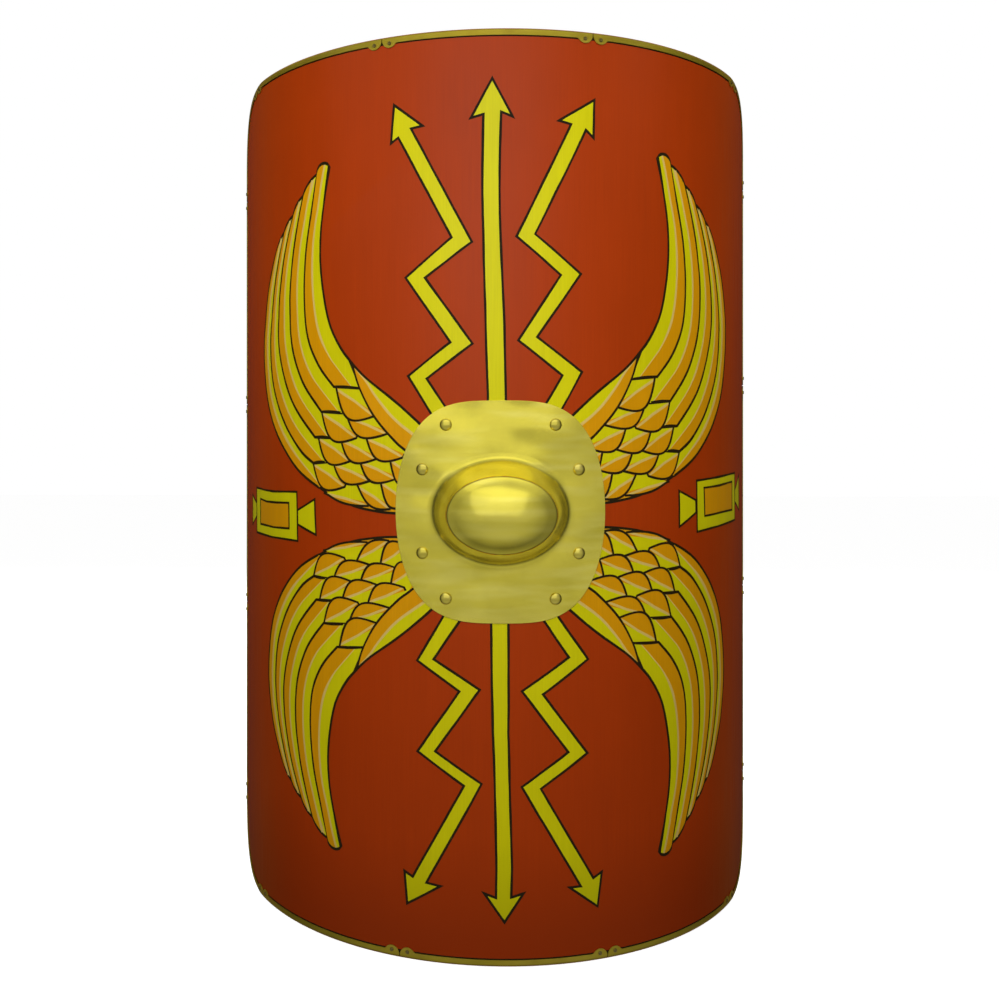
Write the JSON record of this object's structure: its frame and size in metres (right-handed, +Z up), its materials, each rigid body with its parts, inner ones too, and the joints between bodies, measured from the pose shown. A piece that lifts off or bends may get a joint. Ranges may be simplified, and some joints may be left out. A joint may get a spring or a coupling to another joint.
{
  "type": "roman scutum shield",
  "caption": "Tall oblong shield bent to a deep curve, painted in front, edged in brass, with a domed boss over a grip; stands on its lower edge.",
  "frame": {"origin": "bottom centre of the bounding box, on the floor that the lower edge stands on", "axes": "+Z up the shield, -Y the way the painted, bulging face looks, +X to the right of someone who looks at that face"},
  "size_m": [0.6734, 0.3307, 1.04],
  "materials": {
    "painted_board": "plywood, brushed satin paint in front: red ground with yellow, orange and cream figures outlined in black; varnished behind",
    "boss_brass": "hand-polished sheet brass with faint streaks",
    "edging_brass": "folded sheet brass, satin",
    "fastener_brass": "domed brass rivets and nails",
    "grip_wood": "smooth oiled wood"
  },
  "bodies": {
    "root": {"shield_board": "painted_board", "boss": "boss_brass", "hand_grip": "grip_wood", "edging_top_left": "edging_brass", "edging_top_middle": "edging_brass", "edging_top_right": "edging_brass", "edging_corner_top_right": "edging_brass", "edging_right_upper": "edging_brass", "edging_right_middle": "edging_brass", "edging_right_lower": "edging_brass", "edging_corner_bottom_right": "edging_brass", "edging_bottom_right": "edging_brass", "edging_bottom_middle": "edging_brass", "edging_bottom_left": "edging_brass", "edging_corner_bottom_left": "edging_brass", "edging_left_lower": "edging_brass", "edging_left_middle": "edging_brass", "edging_left_upper": "edging_brass", "edging_corner_top_left": "edging_brass", "boss_rivet_1": "fastener_brass", "boss_rivet_2": "fastener_brass", "boss_rivet_3": "fastener_brass", "boss_rivet_4": "fastener_brass", "boss_rivet_5": "fastener_brass", "boss_rivet_6": "fastener_brass", "boss_rivet_7": "fastener_brass", "boss_rivet_8": "fastener_brass", "edging_nail_01": "fastener_brass", "edging_nail_02": "fastener_brass", "edging_nail_03": "fastener_brass", "edging_nail_04": "fastener_brass", "edging_nail_05": "fastener_brass", "edging_nail_06": "fastener_brass", "edging_nail_07": "fastener_brass", "edging_nail_08": "fastener_brass", "edging_nail_09": "fastener_brass", "edging_nail_10": "fastener_brass", "edging_nail_11": "fastener_brass", "edging_nail_12": "fastener_brass", "edging_nail_13": "fastener_brass", "edging_nail_14": "fastener_brass", "edging_nail_15": "fastener_brass", "edging_nail_16": "fastener_brass", "edging_nail_17": "fastener_brass", "edging_nail_18": "fastener_brass", "edging_nail_19": "fastener_brass", "edging_nail_20": "fastener_brass", "edging_nail_21": "fastener_brass", "edging_nail_22": "fastener_brass", "edging_nail_23": "fastener_brass", "edging_nail_24": "fastener_brass", "edging_nail_25": "fastener_brass", "edging_nail_26": "fastener_brass", "edging_nail_27": "fastener_brass", "edging_nail_28": "fastener_brass", "edging_nail_29": "fastener_brass", "edging_nail_30": "fastener_brass", "edging_nail_31": "fastener_brass", "edging_nail_32": "fastener_brass"}
  },
  "joints": []
}
